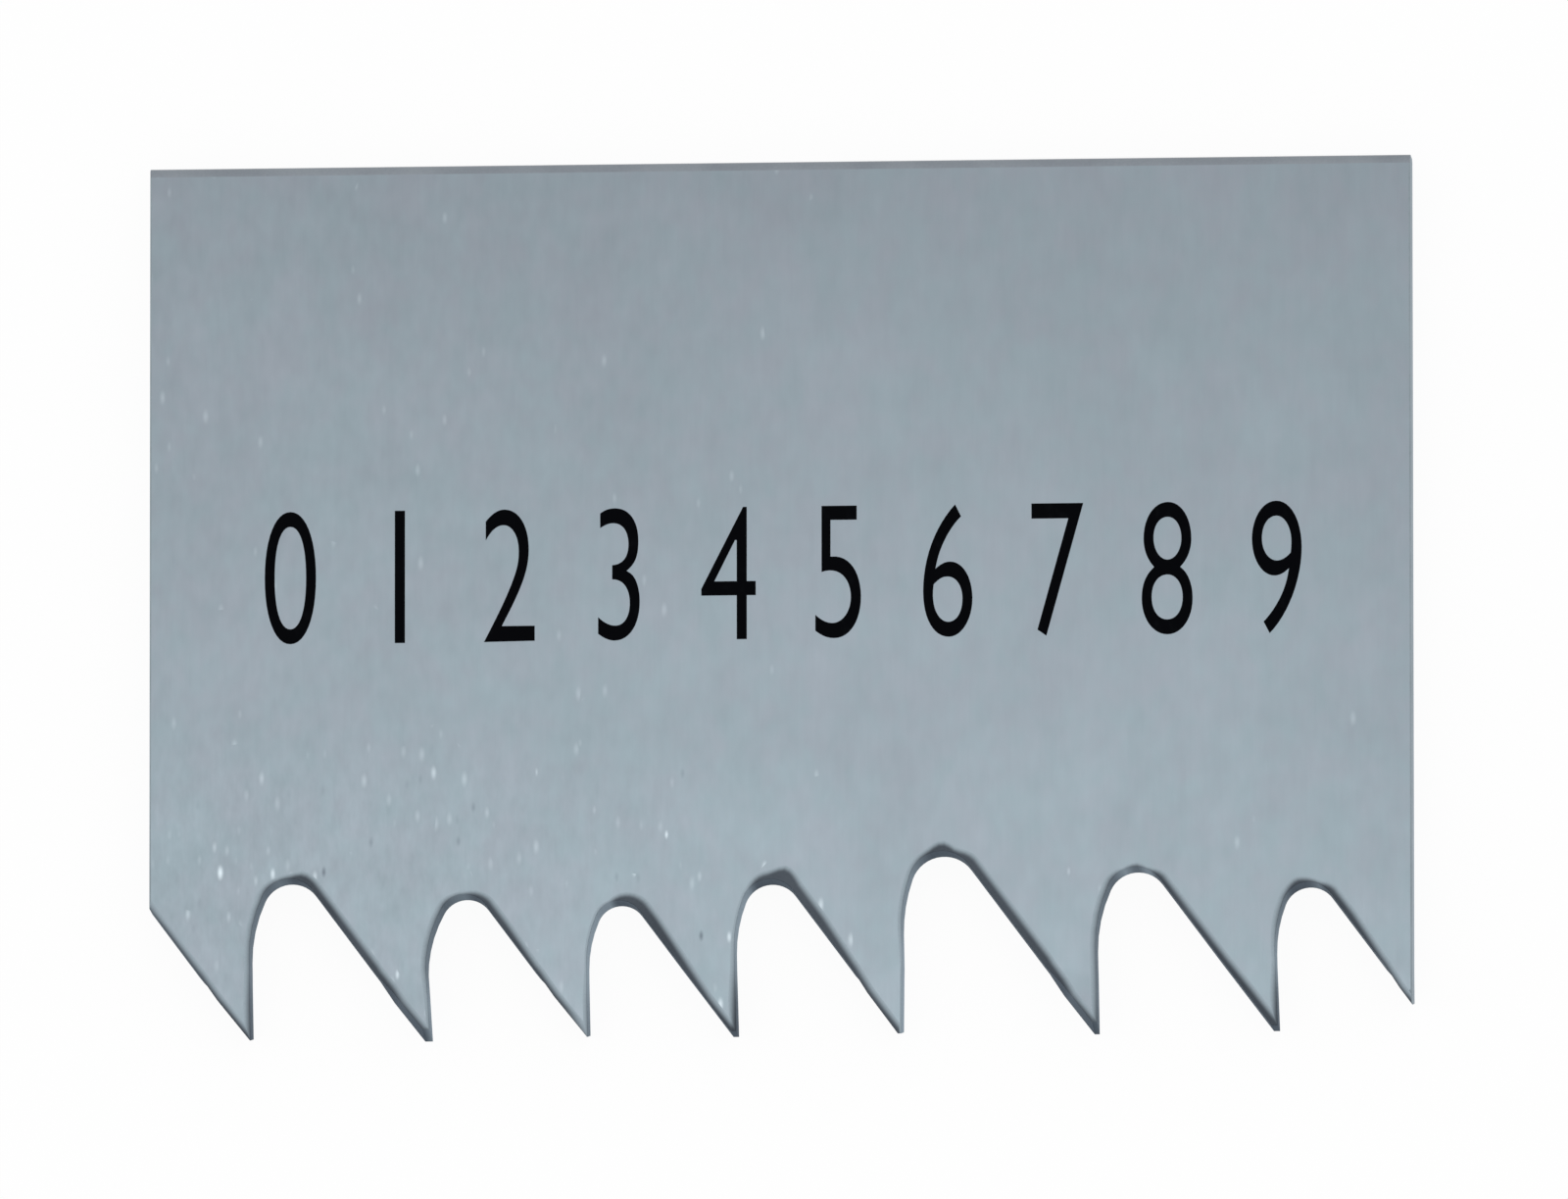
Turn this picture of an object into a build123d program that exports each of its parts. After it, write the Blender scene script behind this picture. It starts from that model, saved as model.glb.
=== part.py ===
from build123d import *
import math
import os
from typing import NamedTuple

# A band saw blade: a short piece cut square from a toothed steel band.
# Millimetres. X runs along the band, Y from the tooth tips to the back edge, Z through the thickness.
# The teeth point to -Y, and their cutting faces look to +X.

# The band.
piece_length = 27.3
band_width = 19.0
band_thickness = 0.9
back_corner_radius = 0.2

# The form that all teeth share. Angles are in degrees.
hook_angle = 1.0
back_angle = 53.5
tip_land = 0.12

# The gullet: a wide curve carries the cutting face over into a small crown, and the crown
# runs straight into the back of the next tooth. All gullets have one form, so both radii
# are shares of the gullet's own depth.
face_curve_share = 0.9
crown_share = 0.186

# The set: teeth bent to one side of the band or the other, below a line across the tooth.
set_angle = 10.0
bend_radius = 2.4
bend_height = 1.3
bend_steps = 4

# Distance from the left end of the piece to the first tip.
first_tip = 2.20

LEFT, STRAIGHT, RIGHT = -1, 0, 1


class Tooth(NamedTuple):
    """One tooth: the distance to the next tip, the depth of the gullet between, and the side it is set to."""

    pitch: float
    gullet_depth: float
    set_side: int


# The group of teeth that repeats along the band, uneven in pitch so that the cut doesn't ring.
tooth_group = [
    Tooth(3.81, 3.43, LEFT),
    Tooth(3.48, 3.05, RIGHT),
    Tooth(3.20, 2.88, LEFT),
    Tooth(3.62, 3.31, STRAIGHT),
    Tooth(4.19, 3.88, LEFT),
    Tooth(3.87, 3.49, RIGHT),
    Tooth(3.42, 3.12, STRAIGHT),
]

# How far the band is made past both ends before it is cut to length.
run_out = max(tooth.pitch for tooth in tooth_group)


def slope(degrees):
    """Run for each unit of rise of a line that leans by this angle."""
    return math.tan(math.radians(degrees))


def teeth_along_band():
    """Pairs of tip position and tooth, from just before the left end to just past the right end."""
    index = 0
    tip = first_tip
    while tip > 0:
        index -= 1
        tip -= tooth_group[index % len(tooth_group)].pitch
    row = []
    while tip < piece_length + run_out:
        tooth = tooth_group[index % len(tooth_group)]
        row.append((tip, tooth))
        tip += tooth.pitch
        index += 1
    return row


def face_x(tip, height):
    """Where the cutting face is at a height above the tip line."""
    return tip - height * slope(hook_angle)


def back_x(tip, height):
    """Where the tooth's back is at a height above the tip line."""
    return tip - tip_land - height / slope(back_angle)


def gullet_depth(tooth):
    """Depth of the gullet after a tooth, no deeper than where its crown would run into the cutting face."""
    turn = math.radians(back_angle)
    run = (1 - crown_share) / math.tan(turn) + crown_share / math.sin(turn) + crown_share
    return min(tooth.gullet_depth, (tooth.pitch - tip_land) / run)


def crown_centre(next_tip, depth):
    """Centre of the crown, which reaches the gullet's depth and touches the back of the next tooth."""
    radius = crown_share * depth
    height = depth - radius
    return Vector(back_x(next_tip, height) - radius / math.sin(math.radians(back_angle)), height)


def face_curve(tip, crown, depth):
    """Curve that leaves the cutting face and goes round the crown's outside until they touch."""
    radius = face_curve_share * depth
    inside = radius - crown_share * depth
    up_face = Vector(0, 1).rotate(Axis.Z, hook_angle)
    off_face = Vector(1, 0).rotate(Axis.Z, hook_angle)
    to_crown = crown - Vector(tip, 0)
    climb = math.sqrt(inside**2 - (radius - to_crown.dot(off_face)) ** 2)
    start = Vector(tip, 0) + up_face * (to_crown.dot(up_face) - climb)
    centre = start + off_face * radius
    end = centre + (crown - centre).normalized() * radius
    return TangentArc(start, end, tangent=up_face)


def gullet(tip, tooth):
    """Face of the gullet between the tooth with this tip and the next one."""
    next_tip = tip + tooth.pitch
    depth = gullet_depth(tooth)
    crown = crown_centre(next_tip, depth)
    crown_end = crown + Vector(0, 1).rotate(Axis.Z, -back_angle) * crown_share * depth
    curve = face_curve(tip, crown, depth)
    crown_arc = TangentArc(curve @ 1, crown_end, tangent=curve % 1)
    # The cut runs out past the tip line, so that it leaves nothing between the lands.
    face = Polyline((tip, -tip_land), (tip, 0), curve @ 0)
    back = Polyline(crown_end, (next_tip - tip_land, 0), (next_tip - tip_land, -tip_land))
    mouth = Line(back @ 1, face @ 0)
    return make_face(face.edges() + [curve, crown_arc] + back.edges() + [mouth])


def below_bend(tip):
    """Face that takes off the flat tooth below its bend line, with a little of the gap on both sides."""
    left = back_x(tip, bend_height) - tip_land / 2
    right = tip + tip_land / 2
    return Pos((left + right) / 2, bend_height / 2) * Rectangle(right - left, bend_height)


def toothed_profile():
    """Outline of the band, seen along Z, without the ends of the teeth that are set."""
    strip_length = piece_length + 2 * run_out
    profile = Pos(piece_length / 2, band_width / 2) * Rectangle(strip_length, band_width)
    for tip, tooth in teeth_along_band():
        profile -= gullet(tip, tooth)
    for tip, tooth in teeth_along_band():
        if tooth.set_side != STRAIGHT:
            profile -= below_bend(tip)
    return profile


def tooth_section(tip, along, side):
    """Section of a set tooth, at a distance from its bend line measured along the bent tooth."""
    bend_length = bend_radius * math.radians(set_angle)
    turned = min(along, bend_length) / bend_radius
    straight = max(along - bend_length, 0)
    drop = bend_radius * math.sin(turned) + straight * math.cos(turned)
    offset = bend_radius * (1 - math.cos(turned)) + straight * math.sin(turned)
    left = back_x(tip, bend_height - along)
    right = face_x(tip, bend_height - along)
    centre = ((left + right) / 2, bend_height - drop, band_thickness / 2 + side * offset)
    across = Plane(origin=centre, x_dir=(1, 0, 0), z_dir=(0, -math.cos(turned), side * math.sin(turned)))
    return across * Rectangle(right - left, band_thickness)


def set_tooth(tip, side):
    """The end of a tooth that is bent to one side, from its bend line to its tip."""
    bend_length = bend_radius * math.radians(set_angle)
    stations = [bend_length * step / bend_steps for step in range(bend_steps + 1)]
    stations.append(bend_height)
    return loft([tooth_section(tip, along, side) for along in stations], ruled=True)


def blade():
    """The whole piece of band, resting on its lowest tips, with the origin below its middle."""
    band = extrude(toothed_profile(), band_thickness)
    back_edges = band.edges().filter_by(Axis.X).group_by(Axis.Y)[-1]
    band = fillet(back_edges, back_corner_radius)
    for tip, tooth in teeth_along_band():
        if tooth.set_side != STRAIGHT:
            band += set_tooth(tip, tooth.set_side)
    room = 2 * band_width
    band &= Pos(piece_length / 2, band_width / 2) * Box(piece_length, room, room)
    lowest = band.bounding_box().min.Z
    return Pos(-piece_length / 2, -band_width / 2, -lowest) * band


def main():
    os.makedirs("parts", exist_ok=True)
    export_step(blade(), "parts/blade.step")


main()
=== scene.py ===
import logging
import math
from collections.abc import Mapping, Sequence
from dataclasses import dataclass
from enum import IntEnum
from typing import Any, NamedTuple

import bmesh
import bpy
from mathutils import Matrix, Vector


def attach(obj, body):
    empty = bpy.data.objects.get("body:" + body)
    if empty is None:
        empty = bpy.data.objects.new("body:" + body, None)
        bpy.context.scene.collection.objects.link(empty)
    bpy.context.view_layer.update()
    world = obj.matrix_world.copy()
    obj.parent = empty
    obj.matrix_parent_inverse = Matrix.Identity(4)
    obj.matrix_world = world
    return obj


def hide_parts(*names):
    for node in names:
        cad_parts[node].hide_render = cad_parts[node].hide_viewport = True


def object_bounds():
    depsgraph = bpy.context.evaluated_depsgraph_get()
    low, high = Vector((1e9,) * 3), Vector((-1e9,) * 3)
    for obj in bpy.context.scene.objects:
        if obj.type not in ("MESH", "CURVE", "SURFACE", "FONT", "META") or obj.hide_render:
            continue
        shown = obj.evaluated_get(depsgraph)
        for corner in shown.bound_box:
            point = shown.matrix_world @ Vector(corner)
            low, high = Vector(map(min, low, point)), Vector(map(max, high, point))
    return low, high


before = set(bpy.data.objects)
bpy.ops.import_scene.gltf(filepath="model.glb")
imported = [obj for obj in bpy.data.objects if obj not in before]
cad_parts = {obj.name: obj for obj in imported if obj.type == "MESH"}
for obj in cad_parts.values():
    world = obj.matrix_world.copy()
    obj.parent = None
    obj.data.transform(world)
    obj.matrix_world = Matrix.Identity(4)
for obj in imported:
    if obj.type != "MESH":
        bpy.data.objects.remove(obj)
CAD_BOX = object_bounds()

# The looks of a short piece of band saw blade that lies flat, with its teeth towards -Y.
# Blender's unit is the metre, and MM turns the millimetres of the trade into it.
MM = 0.001
LOG = logging.getLogger("band_saw_blade")

# The mesh keeps here how far each of its corners is from where the toothing meets the flat side.
RIM_DISTANCE = "rim_distance"
# Corners that are closer together than this are one corner.
WELD_DISTANCE = 0.0001 * MM
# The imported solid's own mesh, which is only read.
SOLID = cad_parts["blade"].data

Colour = tuple[float, float, float]
# The lengths of a pattern's grain along X, Y and Z, in metres.
Grain = tuple[float, float, float]


def opaque(colour: Colour) -> tuple[float, float, float, float]:
    """The colour with a full alpha, as a node's colour socket takes it."""
    return (*colour, 1.0)


def add_object(name: str, data: bpy.types.ID) -> bpy.types.Object:
    """Puts a new object in the scene, at the origin.

    Args:
        name: the object's name.
        data: its mesh, text, lamp or camera.

    Returns:
        The object.
    """
    made = bpy.data.objects.new(name, data)
    bpy.context.scene.collection.objects.link(made)
    return made


def add_mesh(name: str, shape: bmesh.types.BMesh) -> bpy.types.Object:
    """Puts a finished shape in the scene.

    Args:
        name: the name of the new object and of its mesh.
        shape: the shape, which is used up.

    Returns:
        The object.
    """
    mesh = bpy.data.meshes.new(name)
    shape.to_mesh(mesh)
    shape.free()
    return add_object(name, mesh)


class Signal:
    """A node's output that takes part in plain arithmetic: each operator adds its Math node."""

    def __init__(self, graph: "Graph", socket: bpy.types.NodeSocket) -> None:
        """Keeps the socket and the graph that it belongs to."""
        self.graph = graph
        self.socket = socket

    def __add__(self, other: "Number") -> "Signal":
        """This plus other."""
        return self.graph.math("ADD", self, other)

    def __sub__(self, other: "Number") -> "Signal":
        """This minus other."""
        return self.graph.math("SUBTRACT", self, other)

    def __rsub__(self, other: "Number") -> "Signal":
        """Other minus this."""
        return self.graph.math("SUBTRACT", other, self)

    def __mul__(self, other: "Number") -> "Signal":
        """This times other."""
        return self.graph.math("MULTIPLY", self, other)

    def __truediv__(self, other: "Number") -> "Signal":
        """This over other."""
        return self.graph.math("DIVIDE", self, other)

    def __pow__(self, other: "Number") -> "Signal":
        """This to the power of other."""
        return self.graph.math("POWER", self, other)

    __radd__ = __add__
    __rmul__ = __mul__


Number = Signal | float


class Node:
    """A node that was added to a graph. Its outputs are read by name, as in node["Color"]."""

    def __init__(self, graph: "Graph", node: bpy.types.Node) -> None:
        """Keeps the node and the graph that it belongs to."""
        self.graph = graph
        self.node = node

    def __getitem__(self, output: str | int) -> Signal:
        """One output of the node, by its name or number."""
        return Signal(self.graph, self.node.outputs[output])


class Graph:
    """The nodes of one material, or of the world."""

    # The Mix node keeps a socket for each kind of value, and these are its colour sockets.
    MIX_A, MIX_B, MIX_RESULT = 6, 7, 2
    # How strong each finer layer of noise is, next to the one before.
    NOISE_ROUGHNESS = 0.55

    def __init__(self, owner: bpy.types.Material | bpy.types.World) -> None:
        """Takes over a node tree, and empties it.

        Args:
            owner: the material or world that the nodes belong to.
        """
        owner.use_nodes = True
        self.tree = owner.node_tree
        self.tree.nodes.clear()

    def add(
        self,
        kind: str,
        settings: Mapping[str, Any] | None = None,
        sockets: Mapping[str | int, Any] | None = None,
    ) -> Node:
        """Adds one node.

        Args:
            kind: the node's type, without its leading ShaderNode.
            settings: the node's own options, which are set first.
            sockets: a value or a Signal for each input, by the input's name or number.

        Returns:
            The node, whose outputs are read by name.
        """
        node = self.tree.nodes.new("ShaderNode" + kind)
        for name, value in (settings or {}).items():
            setattr(node, name, value)
        for name, value in (sockets or {}).items():
            if isinstance(value, Signal):
                self.tree.links.new(value.socket, node.inputs[name])
            else:
                node.inputs[name].default_value = value
        return Node(self, node)

    def math(self, operation: str, *values: Number) -> Signal:
        """A Math node on one, two or three numbers.

        Args:
            operation: the name of the node's operation.
            values: the numbers, in the order of the node's inputs.

        Returns:
            The result.
        """
        return self.add("Math", {"operation": operation}, dict(enumerate(values)))["Value"]

    def fade(self, value: Number, low: Number, high: Number) -> Signal:
        """A soft step.

        Args:
            value: the number that is tested.
            low: where the step starts.
            high: where the step ends. It may be below low, and then the step goes down.

        Returns:
            0 at low and before it, 1 at high and past it.
        """
        sockets = {"Value": value, "From Min": low, "From Max": high}
        return self.add("MapRange", {"interpolation_type": "SMOOTHSTEP"}, sockets)["Result"]

    def blend(self, share: Number, first: Colour | Signal, second: Colour | Signal) -> Signal:
        """Two colours mixed.

        Args:
            share: how much of the second colour shows, from 0 to 1.
            first: the colour at 0.
            second: the colour at 1.

        Returns:
            The mixed colour.
        """
        ends = [end if isinstance(end, Signal) else opaque(end) for end in (first, second)]
        sockets = {"Factor": share, self.MIX_A: ends[0], self.MIX_B: ends[1]}
        return self.add("Mix", {"data_type": "RGBA"}, sockets)[self.MIX_RESULT]

    def shade(self, colour: Signal, amount: Number) -> Signal:
        """A colour made lighter or darker.

        Args:
            colour: the colour.
            amount: what its three channels are multiplied by.

        Returns:
            The new colour.
        """
        return self.add("VectorMath", {"operation": "SCALE"}, {0: colour, "Scale": amount})["Vector"]

    def tint(self, colour: Signal, cast: Signal) -> Signal:
        """A colour seen through a faint cast.

        Args:
            colour: the colour.
            cast: a colour near white, which multiplies it.

        Returns:
            The new colour.
        """
        return self.add("VectorMath", {"operation": "MULTIPLY"}, {0: colour, 1: cast})["Vector"]

    def spot(self) -> Node:
        """The object's own coordinates in metres, as a node with the outputs X, Y and Z."""
        return self.add("SeparateXYZ", None, {0: self.add("TexCoord")["Object"]})

    def place(self, grain: Grain, shift: float = 0.0) -> Signal:
        """The object's own coordinates, counted in grains.

        Args:
            grain: the size of one grain.
            shift: how many grains the pattern is moved, so that two patterns differ.

        Returns:
            The coordinates.
        """
        coordinates = self.add("TexCoord")["Object"]
        scale = [1 / length for length in grain]
        sockets = {"Vector": coordinates, "Location": (shift, shift, shift), "Scale": scale}
        return self.add("Mapping", {"vector_type": "POINT"}, sockets)["Vector"]

    def noise(self, grain: Grain, detail: float = 2.0, shift: float = 0.0) -> Signal:
        """Soft cloudy noise.

        Args:
            grain: the size of one cloud.
            detail: how many finer layers are added.
            shift: how many grains the pattern is moved, so that two patterns differ.

        Returns:
            A number round 0, mostly from -1 to 1.
        """
        sockets = {"Scale": 1.0, "Detail": detail, "Roughness": self.NOISE_ROUGHNESS}
        sockets["Vector"] = self.place(grain, shift)
        cloud = self.add("TexNoise", {"noise_dimensions": "3D"}, sockets)["Fac"]
        # The node's own noise is mostly from a quarter to three quarters.
        return cloud * 4 - 2

    def relief(self, height: Number, depth: float, strength: float) -> Signal:
        """The surface's own small ups and downs.

        Args:
            height: how high the surface stands, round 0.
            depth: how many metres a height of 1 is.
            strength: how much of it shows, from 0 to 1.

        Returns:
            The normal for a shader.
        """
        sockets = {"Height": height, "Distance": depth, "Strength": strength}
        return self.add("Bump", None, sockets)["Normal"]

    def show(self, shader: Signal) -> None:
        """Ends a material's tree in this shader."""
        self.add("OutputMaterial", None, {"Surface": shader})


@dataclass(frozen=True)
class Finish:
    """What every finish has: a name, and a plain shader whose varying sockets it paints."""

    name: str

    def constants(self) -> dict[str, Any]:
        """The shader's sockets that are the same all over the surface."""
        raise NotImplementedError

    def paint(self, graph: Graph) -> dict[str, Signal]:
        """What varies over the surface.

        Args:
            graph: the nodes of the finish's material.

        Returns:
            A link for each shader socket that varies.
        """
        raise NotImplementedError

    def material(self) -> bpy.types.Material:
        """Makes the material.

        Returns:
            The new material.
        """
        made = bpy.data.materials.new(self.name)
        graph = Graph(made)
        sockets = {**self.constants(), **self.paint(graph)}
        graph.show(graph.add("BsdfPrincipled", None, sockets)["BSDF"])
        return made


@dataclass(frozen=True)
class Zoned:
    """A number with what it gains at the left end, near the teeth and in the corner between them."""

    everywhere: float = 0.0
    left: float = 0.0
    low: float = 0.0
    corner: float = 0.0

    def at(self, left: Signal, low: Signal) -> Signal:
        """The number at each spot, from how far left and how near the teeth the spot is."""
        return self.everywhere + self.left * left + self.low * low + self.corner * low * left


@dataclass(frozen=True)
class Layer:
    """One layer of lighter and darker patches: how strong it is, its grain and its noise."""

    strength: Zoned
    grain: Grain
    detail: float
    shift: float = 0.0


SPARKLE = Layer(Zoned(corner=0.036), (0.13 * MM, 0.30 * MM, 0.3 * MM), detail=1.0, shift=3.0)
FINE_GRAIN = Layer(Zoned(0.016, left=0.016, low=0.005), (0.26 * MM, 0.50 * MM, 0.5 * MM), detail=1.0)
MOTTLE = Layer(Zoned(0.019, low=0.012), (0.8 * MM, 1.1 * MM, 1.0 * MM), detail=1.0, shift=7.0)
STREAKS = Layer(Zoned(0.016), (0.45 * MM, 2.6 * MM, 1.0 * MM), detail=2.0, shift=11.0)
CLOUDS = Layer(Zoned(0.032), (3.0 * MM, 4.0 * MM, 3.0 * MM), detail=2.0, shift=23.0)
ROLLED_BANDS = Layer(Zoned(0.010), (60 * MM, 1.9 * MM, 30 * MM), detail=1.0, shift=37.0)


@dataclass(frozen=True)
class SatinSteel(Finish):
    """The flat sides: rolled, hardened and left satin, with an upright grain, bright specks of painted
    glint, pits of painted shade and a painted light gradient towards the teeth.
    """

    # The back tone is painted shade and the tooth tone painted light, laid across the band's width.
    back_shade_tone: Colour = (0.272, 0.317, 0.354)
    tooth_lit_tone: Colour = (0.366, 0.440, 0.488)
    # How much of the painted light gradient from the one tone to the other is lost at the band's two ends,
    # so that the painted light is brightest in the band's middle.
    end_loss: float = 0.22
    cool_cast: Colour = (0.976, 1.010, 1.006)
    warm_cast: Colour = (1.026, 0.986, 0.999)
    cast_patch: Grain = (1.2 * MM, 1.6 * MM, 3 * MM)
    cast_fleck: Grain = (0.4 * MM, 0.6 * MM, 1 * MM)
    # Noise this far below 0 is all cool, and this far above it all warm.
    cast_spread: float = 1.15
    band_width: float = 19.0 * MM
    band_length: float = 27.3 * MM
    # Where each zone starts and where it is full, from the band's middle, as shares of its length
    # and of its width.
    left_zone: tuple[float, float] = (0.20, -0.45)
    low_zone: tuple[float, float] = (-0.08, -0.26)
    layers: tuple[Layer, ...] = (SPARKLE, FINE_GRAIN, MOTTLE, STREAKS, CLOUDS, ROLLED_BANDS)
    # Specks of painted glint and pits of painted shade lie in the cells of one pattern. A share says how
    # many cells have one, a radius is counted in cells, and a strength goes from 0, unseen, to 1, the full
    # colour.
    cell: Grain = (0.31 * MM, 0.74 * MM, 1 * MM)
    # Specks come in swarms of this size, with none where the noise is below the first number, and
    # their full share where it is above the second.
    swarm: Grain = (2.6 * MM, 2.6 * MM, 9 * MM)
    swarm_edge: tuple[float, float] = (-0.6, 0.9)
    glint_colour: Colour = (0.74, 0.84, 0.90)
    glint_share: Zoned = Zoned(left=0.20, low=0.05, corner=0.66)
    glint_radius: float = 0.16
    glint_strength: float = 0.06
    # How much more of both the largest speck has.
    glint_growth: float = 0.14
    # How much stronger the rare bright specks of painted glint near the teeth are, and how rare they are.
    flash_strength: float = 0.84
    flash_rarity: float = 6.0
    pit_shade_colour: Colour = (0.10, 0.12, 0.15)
    pit_share: Zoned = Zoned(corner=0.08)
    pit_radius: float = 0.22
    pit_strength: float = 0.10
    # How much stronger the painted shade of the rare deep pits is, and how rare they are.
    deep_strength: float = 0.6
    deep_rarity: float = 7.0
    roughness: float = 0.42
    roughness_spread: float = 0.03
    brush: Grain = (0.05 * MM, 1.2 * MM, 0.5 * MM)
    brush_depth: float = 0.0015 * MM
    brush_strength: float = 0.35

    def constants(self) -> dict[str, Any]:
        """Bare metal."""
        return {"Metallic": 1.0}

    def tone(self, graph: Graph) -> Signal:
        """The steel's colour with a painted light gradient: a little lighter and bluer from the back edge
        to the teeth, most in the band's middle.

        Args:
            graph: the nodes of the finish's material.

        Returns:
            The colour.
        """
        spot = graph.spot()
        along = 2 / self.band_length * spot["X"]
        share = (0.5 - spot["Y"] / self.band_width) * (1 - self.end_loss * along * along)
        return graph.blend(share, self.back_shade_tone, self.tooth_lit_tone)

    def zones(self, graph: Graph) -> tuple[Signal, Signal]:
        """Where the surface is roughest.

        Args:
            graph: the nodes of the finish's material.

        Returns:
            How far left and how near the teeth each spot is, from 0 to 1.
        """
        spot = graph.spot()
        left = graph.fade(spot["X"], *(share * self.band_length for share in self.left_zone))
        low = graph.fade(spot["Y"], *(share * self.band_width for share in self.low_zone))
        return left, low

    def unevenness(self, graph: Graph) -> Number:
        """How much lighter or darker each spot is: upright grain, clouds and faint bands.

        Args:
            graph: the nodes of the finish's material.

        Returns:
            A number round 1 that the colour is multiplied by.
        """
        left, low = self.zones(graph)
        total: Number = 1.0
        for layer in self.layers:
            patches = graph.noise(layer.grain, layer.detail, layer.shift)
            total = total + layer.strength.at(left, low) * patches
        return total

    def specks(self, graph: Graph) -> tuple[Signal, Signal]:
        """Small upright specks of painted glint, most of them faint, thickest at the left end and towards
        the teeth, and small pits of painted shade.

        Args:
            graph: the nodes of the finish's material.

        Returns:
            How much of the painted glint and of the painted pit shade shows, from 0 to 1.
        """
        settings = {"voronoi_dimensions": "2D", "feature": "F1"}
        sockets = {"Vector": graph.place(self.cell), "Scale": 1.0, "Randomness": 1.0}
        cells = graph.add("TexVoronoi", settings, sockets)
        draw = graph.add("SeparateColor", None, {0: cells["Color"]})
        left, low = self.zones(graph)
        swarm = graph.fade(graph.noise(self.swarm, detail=1.0, shift=51.0), *self.swarm_edge)
        # A cell's red and green follow from where its speck lies, so its blue says whether it has one.
        there = graph.math("GREATER_THAN", draw["Blue"], 1 - swarm * self.glint_share.at(left, low))
        growth = self.glint_growth * draw["Red"]
        flash = self.flash_strength * low * draw["Green"] ** self.flash_rarity
        strength = self.glint_strength + growth + flash
        bright = graph.fade(cells["Distance"], self.glint_radius + growth, 0) * there * strength
        rare = graph.math("LESS_THAN", draw["Blue"], self.pit_share.at(left, low))
        depth = self.pit_strength + self.deep_strength * draw["Green"] ** self.deep_rarity
        pit = graph.fade(cells["Distance"], self.pit_radius, 0) * rare * depth
        return bright, pit

    def cast(self, graph: Graph) -> Signal:
        """Patches of a faint cool or warm cast.

        Args:
            graph: the nodes of the finish's material.

        Returns:
            A colour near white.
        """
        patches = graph.noise(self.cast_patch, detail=3.0, shift=71.0)
        flecks = graph.noise(self.cast_fleck, detail=1.0, shift=83.0)
        share = graph.fade(patches + 0.5 * flecks, -self.cast_spread, self.cast_spread)
        return graph.blend(share, self.cool_cast, self.warm_cast)

    def paint(self, graph: Graph) -> dict[str, Signal]:
        """Colour, roughness and grain of the flat sides.

        Args:
            graph: the nodes of the finish's material.

        Returns:
            A link for each shader socket that varies.
        """
        steel = graph.shade(graph.tint(self.tone(graph), self.cast(graph)), self.unevenness(graph))
        # Specks of painted glint and pits of painted shade go over the steel's colour.
        bright, pit = self.specks(graph)
        dotted = graph.blend(bright, steel, self.glint_colour)
        brushed = graph.noise(self.brush, detail=3.0, shift=91.0)
        return {
            "Base Color": graph.blend(pit, dotted, self.pit_shade_colour),
            "Roughness": self.roughness + self.roughness_spread * brushed,
            "Normal": graph.relief(brushed, self.brush_depth, self.brush_strength),
        }


@dataclass(frozen=True)
class WorkedSteel(Finish):
    """A narrow face that a tool has cut or ground, with its marks across the band's thickness."""

    dark: Colour
    light: Colour
    roughness: float
    mark_spacing: float
    mark_depth: float
    # How many spacings long a mark is.
    mark_length: float = 12
    stain: Grain = (1.3 * MM, 1.3 * MM, 0.7 * MM)
    # How much marks and stains count in the colour.
    mark_weight: float = 0.6
    stain_weight: float = 0.8
    roughness_spread: float = 0.06
    mark_strength: float = 0.5
    glancing: Colour = (1.0, 1.0, 1.0)

    def constants(self) -> dict[str, Any]:
        """Bare metal, with the tint that it has when it is seen at a glancing angle."""
        return {"Metallic": 1.0, "Specular Tint": opaque(self.glancing)}

    def paint(self, graph: Graph) -> dict[str, Signal]:
        """Tool marks in colour, roughness and relief.

        Args:
            graph: the nodes of the finish's material.

        Returns:
            A link for each shader socket that varies.
        """
        spacing = self.mark_spacing
        marks = graph.noise((spacing, spacing, self.mark_length * spacing), detail=3.0)
        stains = graph.noise(self.stain, detail=2.0, shift=13.0)
        most = self.mark_weight + self.stain_weight
        share = graph.fade(self.mark_weight * marks + self.stain_weight * stains, -most, most)
        return {
            "Base Color": graph.blend(share, self.dark, self.light),
            "Roughness": self.roughness + self.roughness_spread * marks,
            "Normal": graph.relief(marks, self.mark_depth, self.mark_strength),
        }


@dataclass(frozen=True)
class MilledSteel(WorkedSteel):
    """The toothing: painted dark for the shade and dark reflections of its walls and broken edges, fading
    to the flat side's colour along its rim, where it meets the flat side.
    """

    rim: Colour = (0.340, 0.407, 0.452)
    rim_width: float = 0.15 * MM

    def paint(self, graph: Graph) -> dict[str, Signal]:
        """Tool marks, and a colour that comes from the flat side's own.

        Args:
            graph: the nodes of the finish's material.

        Returns:
            A link for each shader socket that varies.
        """
        painted = super().paint(graph)
        distance = graph.add("Attribute", {"attribute_name": RIM_DISTANCE})["Fac"]
        share = graph.fade(distance, 0, self.rim_width)
        return painted | {"Base Color": graph.blend(share, self.rim, painted["Base Color"])}


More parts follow.
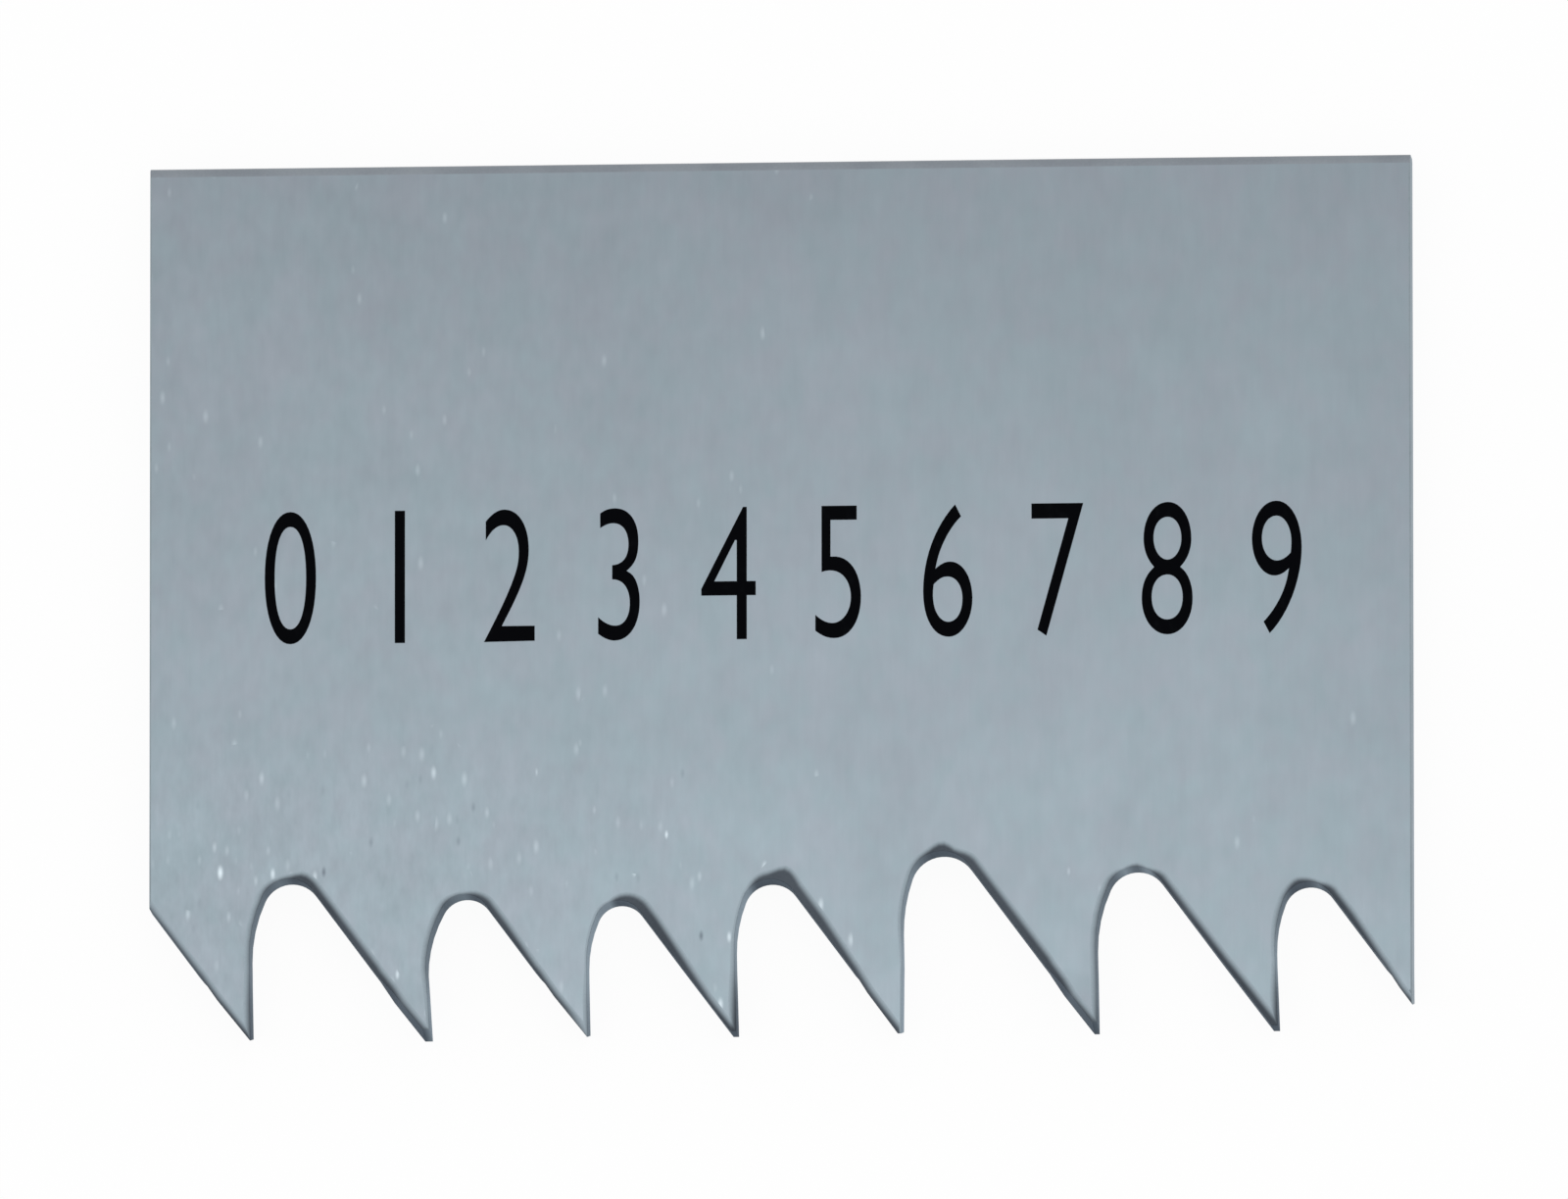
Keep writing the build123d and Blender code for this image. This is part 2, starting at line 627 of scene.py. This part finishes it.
@dataclass(frozen=True)
class Ink(Finish):
    """Flat black marking ink, a little thinner here and there."""

    solid: Colour = (0.0012, 0.0014, 0.0022)
    worn: Colour = (0.0040, 0.0046, 0.0060)
    # The size of a thin place, and the noise where it starts and where it is full.
    thin_place: Grain = (0.3 * MM, 0.5 * MM, 1 * MM)
    thin_edge: tuple[float, float] = (0.2, 1.6)
    roughness: float = 0.55
    roughness_spread: float = 0.1

    def constants(self) -> dict[str, Any]:
        """Matt, with hardly any gloss."""
        return {"Metallic": 0.0, "Specular IOR Level": 0.02, "IOR": 1.45}

    def paint(self, graph: Graph) -> dict[str, Signal]:
        """Places where the ink is thin and the steel's roughness shows through.

        Args:
            graph: the nodes of the finish's material.

        Returns:
            A link for each shader socket that varies.
        """
        thin = graph.fade(graph.noise(self.thin_place, detail=3.0), *self.thin_edge)
        return {
            "Base Color": graph.blend(thin, self.solid, self.worn),
            "Roughness": self.roughness + self.roughness_spread * thin,
        }


class Skin(IntEnum):
    """The kinds of surface on the band, in the order of its material slots."""

    SIDE = 0
    TOOTHING = 1
    CUT_END = 2
    BACK_EDGE = 3


FINISHES: dict[Skin, Finish] = {
    Skin.SIDE: SatinSteel("satin_side"),
    Skin.TOOTHING: MilledSteel(
        name="toothing_painted_shade",
        # The toothing's dark and light colours are painted shade and dark reflection, far darker than the
        # steel itself.
        dark=(0.053, 0.063, 0.076),
        light=(0.090, 0.106, 0.126),
        roughness=0.55,
        mark_spacing=0.04 * MM,
        mark_depth=0.003 * MM,
        glancing=(0.55, 0.62, 0.70),
    ),
    Skin.CUT_END: WorkedSteel(
        name="sheared_end",
        dark=(0.235, 0.280, 0.305),
        light=(0.310, 0.365, 0.400),
        roughness=0.45,
        mark_spacing=0.06 * MM,
        mark_depth=0.004 * MM,
        glancing=(0.80, 0.85, 0.90),
    ),
    Skin.BACK_EDGE: WorkedSteel(
        name="rounded_back",
        # Darker than the side: painted shade of the back edge's rounding, which turns away from the light.
        dark=(0.218, 0.242, 0.272),
        light=(0.282, 0.311, 0.341),
        roughness=0.45,
        mark_spacing=0.05 * MM,
        mark_depth=0.002 * MM,
    ),
}


def flat_top() -> float:
    """Height of the band's flat upper side, read where no tooth is bent."""
    return max(corner.co.z for corner in SOLID.vertices if corner.co.y > 0)


def tip_places() -> list[float]:
    """Where the tooth tips are along the band, from left to right.

    Returns:
        The X of each tip's cutting edge, which is the right end of its narrow land.
    """
    reach = CAD_BOX[0].y + 0.1 * MM
    least_pitch = 1 * MM
    places = sorted(corner.co.x for corner in SOLID.vertices if corner.co.y < reach)
    followers = [*places[1:], math.inf]
    return [place for place, after in zip(places, followers) if after - place > least_pitch]


def between(value: float, stops: Sequence[float], results: Sequence[float]) -> float:
    """Reads a small table of numbers.

    Args:
        value: the number to look up.
        stops: the rising numbers that the table has results for.
        results: the result for each stop.

    Returns:
        The result, in proportion between two stops, and the end's own result past either end.
    """
    for low, high, first, last in zip(stops, stops[1:], results, results[1:]):
        if value < high:
            return first + (last - first) * max(value - low, 0) / (high - low)
    return results[-1]


class BreakWidths(NamedTuple):
    """How many millimetres wide the broken edge is round one gullet."""

    # The cutting face and the tooth's back have a width at each of the band's break heights, from
    # the lowest up, and the crown has one at its left, middle and right.
    face: tuple[float, float, float]
    crown: tuple[float, float, float]
    back: tuple[float, float, float]


@dataclass
class ToothedBand:
    """The piece of band with its teeth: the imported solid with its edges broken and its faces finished."""

    edge_break: float = 0.035 * MM
    edge_steps: int = 2
    break_heights: tuple[float, float, float] = (0.75 * MM, 1.5 * MM, 2.4 * MM)
    # One for each gullet: left of the first tip, between the first and the second, and so on to
    # the right end.
    # The broken edges take the toothing's painted shade, so these widths set how wide its dark lines are.
    break_widths: tuple[BreakWidths, ...] = (
        BreakWidths((0.075, 0.075, 0.075), (0.065, 0.065, 0.065), (0.152, 0.141, 0.133)),
        BreakWidths((0.142, 0.115, 0.120), (0.078, 0.097, 0.229), (0.130, 0.215, 0.214)),
        BreakWidths((0.074, 0.115, 0.116), (0.071, 0.061, 0.137), (0.159, 0.153, 0.200)),
        BreakWidths((0.094, 0.041, 0.057), (0.046, 0.152, 0.231), (0.153, 0.215, 0.280)),
        BreakWidths((0.156, 0.091, 0.053), (0.155, 0.191, 0.371), (0.172, 0.185, 0.253)),
        BreakWidths((0.036, 0.036, 0.089), (0.113, 0.245, 0.121), (0.127, 0.251, 0.247)),
        BreakWidths((0.122, 0.121, 0.123), (0.036, 0.103, 0.036), (0.210, 0.190, 0.181)),
        BreakWidths((0.144, 0.074, 0.116), (0.169, 0.110, 0.071), (0.133, 0.138, 0.201)),
    )
    # How much further from the rim the wall of a gullet is counted at the crown than on a cutting face,
    # so that more of the painted shade shows there, and how far to -Y a wall looks, from 0 to 1, where the
    # crown begins.
    crown_depth: float = 0.05 * MM
    crown_start: float = 0.3
    # How far to the right a wall looks, from -1 to 1, where each width holds: the back's, the
    # crown's right, middle and left ones, and the cutting face's.
    crown_looks: tuple[float, ...] = (-0.8, -0.4, 0.0, 0.4, 0.8)
    # How many millimetres the left and the right end of each tip's land are ground further right.
    # It fades out at the reach, which is counted up from the tips.
    tip_grinding: tuple[tuple[float, float], ...] = (
        (0.085, -0.020),
        (0.040, 0.085),
        (0.088, -0.015),
        (0.015, 0.015),
        (-0.012, -0.058),
        (0.025, 0.015),
        (0.017, 0.030),
    )
    grinding_reach: float = 1.5 * MM
    tip_land: float = 0.12 * MM
    # The corners of the broken edges that lie this low move to where a tooth's two edges meet.
    tip_zone: float = 0.5 * MM
    # How far to the left of its tip a cutting face may lie.
    face_lean: float = 0.2 * MM
    back_angle: float = math.radians(53.5)
    back_rounding: float = 0.2 * MM
    # Faces this close to one plane are one face, edges sharper than this are broken, and edges
    # sharper than the crease are shaded crisp.
    flat: float = math.radians(0.05)
    square: float = math.radians(60)
    crease: float = math.radians(18)

    def __post_init__(self) -> None:
        """Finds the teeth."""
        self.tips = tip_places()

    def build(self) -> bpy.types.Object:
        """Makes the piece.

        Returns:
            The finished object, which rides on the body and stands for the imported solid.
        """
        shape = bmesh.new()
        shape.from_mesh(SOLID)
        shape.verts.layers.float.new(RIM_DISTANCE)
        bmesh.ops.remove_doubles(shape, verts=shape.verts, dist=WELD_DISTANCE)
        bmesh.ops.dissolve_limit(shape, angle_limit=self.flat, verts=shape.verts, edges=shape.edges)
        self.cut_teeth(shape)
        self.grind_tips(shape)
        broken = self.break_edges(shape)
        self.widen_breaks(shape, broken)
        self.sort_faces(shape, broken)
        self.crease_edges(shape)
        # Where two broken edges meet, what is left between them is a sliver, which is closed.
        sliver = self.edge_break / 8
        bmesh.ops.remove_doubles(shape, verts=shape.verts, dist=sliver)
        piece = add_mesh("toothed_band", shape)
        self.dress(piece)
        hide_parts("blade")
        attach(piece, "root")
        return piece

    def is_side(self, face: bmesh.types.BMFace) -> bool:
        """Whether the face belongs to one of the two broad sides, flat or bent."""
        least_upright = 0.9
        return abs(face.normal.z) > least_upright

    def cut_teeth(self, shape: bmesh.types.BMesh) -> None:
        """Divides the teeth at the heights where the width of their broken edge changes.

        Args:
            shape: the band's mesh, which is changed.
        """
        for height in self.break_heights:
            everything = [*shape.verts, *shape.edges, *shape.faces]
            level = (0, CAD_BOX[0].y + height, 0)
            bmesh.ops.bisect_plane(shape, geom=everything, plane_co=level, plane_no=(0, 1, 0))

    def at_tip(self, place: Vector) -> bool:
        """Whether a place is next to a tooth's tip."""
        return place.y < CAD_BOX[0].y + self.tip_zone

    def nearest_tip(self, place: Vector) -> int:
        """The number of the tip that is nearest to a place."""
        return min(range(len(self.tips)), key=lambda index: abs(self.tips[index] - place.x))

    def grind_tips(self, shape: bmesh.types.BMesh) -> None:
        """Moves both edges of each tooth as far as it was ground, most at the tip.

        Args:
            shape: the band's mesh, which is changed.
        """
        for corner in shape.verts:
            height = corner.co.y - CAD_BOX[0].y
            tip = self.nearest_tip(corner.co)
            width = self.tip_land + height / math.tan(self.back_angle)
            margin = 0.1 * width
            behind = self.tips[tip] - corner.co.x
            if height < self.grinding_reach and -margin < behind < width + margin:
                left, right = self.tip_grinding[tip]
                share = 1 - height / self.grinding_reach
                corner.co.x += (right if behind < width / 2 else left) * share * MM

    def break_edges(self, shape: bmesh.types.BMesh) -> set[bmesh.types.BMFace]:
        """Takes the sharp corner off both sides all round the outline.

        Args:
            shape: the band's mesh, which is changed.

        Returns:
            The new narrow faces.
        """
        rim = [
            edge
            for edge in shape.edges
            if edge.calc_face_angle(0) > self.square and any(self.is_side(face) for face in edge.link_faces)
        ]
        made = bmesh.ops.bevel(
            shape,
            geom=rim,
            offset=self.edge_break,
            offset_type="OFFSET",
            affect="EDGES",
            segments=self.edge_steps,
            profile=0.5,
            material=-1,
            clamp_overlap=False,
        )
        return set(made["faces"])

    def widen_breaks(self, shape: bmesh.types.BMesh, broken: set[bmesh.types.BMFace]) -> None:
        """Lays the broken edge further back along the toothing, and keeps how far it reaches.

        Args:
            shape: the band's mesh, which is changed.
            broken: the narrow faces of its broken edges.
        """
        distance = shape.verts.layers.float[RIM_DISTANCE]
        places = {corner: corner.co.copy() for face in broken for corner in face.verts}
        for corner, place in places.items():
            sides = [face for face in corner.link_faces if face not in broken and self.is_side(face)]
            across = sides[0].normal if sides else Vector((0, 0, 1))
            outward = sum((face.normal for face in corner.link_faces if face not in sides), Vector())
            outward -= outward.dot(across) * across
            outward.normalize()
            further = self.break_width(place, outward) - self.edge_break
            if not sides:
                into_crown = max(-outward.y - self.crown_start, 0) / (1 - self.crown_start)
                corner[distance] = further + self.crown_depth * into_crown
            elif self.at_tip(place):
                corner.co = self.apex(place, across)
            elif self.at_end(place):
                corner.co += self.way_up(across) * further / math.cos(self.back_angle)
            else:
                corner.co -= outward * further

    def at_end(self, place: Vector) -> bool:
        """Whether a corner of the broken edge lies at one of the band's cut ends."""
        reach = 1.5 * self.edge_break
        return abs(place.x) > CAD_BOX[1].x - reach

    def way_up(self, across: Vector) -> Vector:
        """The way from the teeth to the back edge along a side that faces across, bent or not."""
        return (Vector((0, 1, 0)) - across.y * across).normalized()

    def break_width(self, place: Vector, outward: Vector) -> float:
        """How wide the broken edge is at one place.

        Args:
            place: the place.
            outward: the way from the steel into the gap, along the side.

        Returns:
            The width, in metres.
        """
        # The back edge looks to +Y, a crown to -Y, a tooth's back to the lower left, and a cutting
        # face to the right. At a cut end, only what looks well down belongs to the toothing.
        highest_look = -self.crown_start if self.at_end(place) else self.crown_start
        in_back_half = place.y > 0
        if in_back_half or outward.y > highest_look:
            return self.edge_break
        height = place.y - CAD_BOX[0].y
        is_face = outward.x > 0 and not self.at_end(place)
        beside = place.x + (self.face_lean if is_face else 0)
        widths = self.break_widths[sum(tip < beside for tip in self.tips)]
        on_face = between(height, self.break_heights, widths.face)
        on_back = between(height, self.break_heights, widths.back)
        if height < self.break_heights[-1]:
            return (on_face if is_face else on_back) * MM
        left, middle, right = widths.crown
        return between(outward.x, self.crown_looks, (on_back, right, middle, left, on_face)) * MM

    def apex(self, place: Vector, across: Vector) -> Vector:
        """Where the broken edges of a tooth's back and cutting face meet on one of its sides.

        Args:
            place: a corner of the side at the tooth's tip.
            across: the way that the side faces.

        Returns:
            The meeting point.
        """
        tip = self.nearest_tip(place)
        left, right = (move * MM for move in self.tip_grinding[tip])
        on_back = self.break_widths[tip].back[0] * MM / math.sin(self.back_angle)
        on_face = self.break_widths[tip + 1].face[0] * MM
        opening = 1 / math.tan(self.back_angle) + (left - right) / self.grinding_reach
        rise = max((on_back + on_face - self.tip_land + left - right) / opening, self.edge_break)
        met = place + self.way_up(across) * (rise - self.edge_break)
        met.x = self.tips[tip] + right * (1 - rise / self.grinding_reach) - on_face
        return met

    def sort_faces(self, shape: bmesh.types.BMesh, broken: set[bmesh.types.BMFace]) -> None:
        """Gives each face its kind of surface.

        Args:
            shape: the band's mesh, which is changed.
            broken: the narrow faces of its broken edges.
        """
        low, high = CAD_BOX
        tolerance = 0.02 * MM
        end_depth = self.edge_break + tolerance
        back_depth = self.back_rounding + tolerance
        # How far along the band a face looks, from 0 to 1, if it belongs to a cut end.
        least_look = 0.1
        for face in shape.faces:
            corners = [corner.co for corner in face.verts]
            look = face.normal.x
            at_left = look < -least_look and all(corner.x < low.x + end_depth for corner in corners)
            at_right = look > least_look and all(corner.x > high.x - end_depth for corner in corners)
            # The whole rounding takes the back edge's darker colours, a painted shade.
            if all(corner.y > high.y - back_depth for corner in corners):
                face.material_index = Skin.BACK_EDGE
            elif self.is_side(face) and face not in broken:
                face.material_index = Skin.SIDE
            elif at_left or at_right:
                face.material_index = Skin.CUT_END
            else:
                face.material_index = Skin.TOOTHING

    def crease_edges(self, shape: bmesh.types.BMesh) -> None:
        """Shades curved faces smooth, and keeps the flats and their corners crisp.

        Args:
            shape: the band's mesh, which is changed.
        """
        for face in shape.faces:
            face.smooth = True
        for edge in shape.edges:
            edge.smooth = edge.calc_face_angle(0) < self.crease

    def dress(self, piece: bpy.types.Object) -> None:
        """Puts the four finishes in the piece's material slots.

        Args:
            piece: the band's object.
        """
        for skin in Skin:
            piece.data.materials.append(FINISHES[skin].material())


@dataclass
class NumberRow:
    """Plain numbers in an even row along the band, printed on its upper side."""

    figures: str = "0123456789"
    left: float = -10.6 * MM
    right: float = 10.75 * MM
    foot: float = -0.95 * MM
    height: float = 2.89 * MM
    # A figure's width next to the font's own, and how much its strokes are swollen, in the font's
    # own units. Below 0, they are thinned.
    squeeze: float = 0.62
    weight: float = -0.008
    film: float = 0.006 * MM

    def build(self) -> bpy.types.Object:
        """Makes the piece.

        Returns:
            The finished object, which rides on the body.
        """
        row = bmesh.new()
        pitch = (self.right - self.left) / (len(self.figures) - 1)
        for index, figure in enumerate(self.figures):
            self.add_figure(row, figure, self.left + index * pitch)
        bmesh.ops.remove_doubles(row, verts=row.verts, dist=WELD_DISTANCE)
        bmesh.ops.recalc_face_normals(row, faces=row.faces)
        piece = add_mesh("printed_numbers", row)
        piece.data.materials.append(Ink("marking_ink").material())
        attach(piece, "root")
        return piece

    def add_figure(self, row: bmesh.types.BMesh, figure: str, centre: float) -> None:
        """Adds one figure, as a thin film that is sunk into the steel by half.

        Args:
            row: the row's mesh, which is changed.
            figure: the figure.
            centre: where its middle is along the band.
        """
        text = bpy.data.curves.new("figure", "FONT")
        text.body = figure
        text.offset = self.weight
        # Half above and half below makes the text one unit thick, which the film's thickness sizes.
        text.extrude = 0.5
        writing = add_object("figure", text)
        bpy.context.view_layer.update()
        evaluated = writing.evaluated_get(bpy.context.evaluated_depsgraph_get())
        outline = bpy.data.meshes.new_from_object(evaluated)
        bpy.data.objects.remove(writing)
        xs = [corner.co.x for corner in outline.vertices]
        ys = [corner.co.y for corner in outline.vertices]
        scale = self.height / (max(ys) - min(ys))
        to_foot = Matrix.Translation((-(max(xs) + min(xs)) / 2, -min(ys), 0))
        sizing = Matrix.Diagonal((scale * self.squeeze, scale, self.film, 1))
        to_band = Matrix.Translation((centre, self.foot, flat_top()))
        outline.transform(to_band @ sizing @ to_foot)
        row.from_mesh(outline)
        bpy.data.meshes.remove(outline)


@dataclass
class Softbox:
    """A square lamp with an even face, aimed at the blade."""

    name: str
    place: Vector
    width: float
    radiance: float

    def build(self) -> bpy.types.Object:
        """Makes the lamp.

        Returns:
            The lamp's object.
        """
        lamp = bpy.data.lights.new(self.name, "AREA")
        lamp.shape = "SQUARE"
        lamp.size = self.width
        lamp.energy = self.radiance * math.pi * self.width**2
        made = add_object(self.name, lamp)
        made.location = self.place
        made.rotation_euler = self.place.to_track_quat("Z", "Y").to_euler()
        made.visible_camera = False
        return made


@dataclass
class Studio:
    """The pale room round the blade: floor, white surroundings, lamps and camera."""

    floor_half: float = 1.5
    floor_drop: float = 0.01 * MM
    floor_colour: Colour = (0.96, 0.96, 0.96)
    floor_glow: float = 0.94
    room_light: float = 0.90
    # The camera's turns, in degrees.
    tilt_to_teeth: float = 9.0
    tilt_to_right: float = 4.0
    roll: float = 0.03
    # In millimetres. The lens is long, so that the perspective is as good as flat.
    lens: float = 1200.0
    sensor: float = 36.0
    # How many times nearer and further than the blade the camera's sight begins and ends.
    clip_span: float = 10.0
    view_width: float = 33.85 * MM
    aim_x: float = 0.09 * MM
    aim_y: float = -0.095 * MM

    def seen_directly(self, graph: Graph) -> Signal:
        """Whether a ray shows a surface to the camera, straight or by gloss or glass.

        Args:
            graph: the nodes of the floor's material or of the world.

        Returns:
            1 if it does, and 0 for light on the object.
        """
        path = graph.add("LightPath")
        mirrored = graph.math("MAXIMUM", path["Is Glossy Ray"], path["Is Transmission Ray"])
        return graph.math("MAXIMUM", path["Is Camera Ray"], mirrored)

    def build_floor(self) -> bpy.types.Object:
        """Makes the pale floor that the blade lies on.

        Returns:
            The floor's object.
        """
        sheet = bmesh.new()
        bmesh.ops.create_grid(sheet, x_segments=1, y_segments=1, size=self.floor_half)
        bmesh.ops.translate(sheet, verts=sheet.verts, vec=(0, 0, -self.floor_drop))
        floor = add_mesh("floor", sheet)
        paper = bpy.data.materials.new("pale_floor")
        graph = Graph(paper)
        matt = graph.add("BsdfDiffuse", None, {"Color": opaque(self.floor_colour)})["BSDF"]
        white = graph.add("Emission", None, {"Strength": 1.0})["Emission"]
        share = self.floor_glow * self.seen_directly(graph)
        graph.show(graph.add("MixShader", None, {0: share, 1: matt, 2: white})["Shader"])
        floor.data.materials.append(paper)
        return floor

    def build_surroundings(self) -> None:
        """Makes the world: soft white light, and plain white where it is seen."""
        world = bpy.data.worlds.new("white_room")
        bpy.context.scene.world = world
        graph = Graph(world)
        strength = self.room_light + (1 - self.room_light) * self.seen_directly(graph)
        white = opaque((1.0, 1.0, 1.0))
        room = graph.add("Background", None, {"Color": white, "Strength": strength})["Background"]
        graph.add("OutputWorld", None, {"Surface": room})

    def build_camera(self) -> bpy.types.Object:
        """Places the camera above the blade, a little towards its teeth and its right end.

        Returns:
            The camera's object.
        """
        data = bpy.data.cameras.new("camera")
        data.lens = self.lens
        data.sensor_width = self.sensor
        distance = self.view_width * self.lens / self.sensor
        data.clip_start = distance / self.clip_span
        data.clip_end = distance * self.clip_span
        to_right = math.tan(math.radians(self.tilt_to_right))
        to_teeth = math.tan(math.radians(self.tilt_to_teeth))
        back = Vector((to_right, -to_teeth, 1)).normalized()
        across = Vector((0, 1, 0)).cross(back).normalized()
        up = back.cross(across)
        roll = Matrix.Rotation(math.radians(-self.roll), 4, "Z")
        turn = Matrix((across, up, back)).transposed().to_4x4() @ roll
        aim = Vector((self.aim_x, self.aim_y, flat_top()))
        made = add_object("camera", data)
        made.matrix_world = Matrix.Translation(aim + back * distance) @ turn
        bpy.context.scene.camera = made
        return made

    def build(self) -> None:
        """Makes the whole studio."""
        bpy.context.scene.view_settings.view_transform = "Standard"
        self.build_camera()
        self.build_floor()
        self.build_surroundings()
        place = Vector((0, -30, 150)) * MM
        Softbox("overhead_softbox", place, width=110 * MM, radiance=0.2).build()


def main() -> None:
    """Builds the studio and the blade's pieces, and reports each piece."""
    logging.basicConfig(level=logging.INFO, format="%(name)s: %(message)s")
    Studio().build()
    for part in (ToothedBand(), NumberRow()):
        piece = part.build()
        LOG.info("%s: %d faces", piece.name, len(piece.data.polygons))


if __name__ == "__main__":
    main()
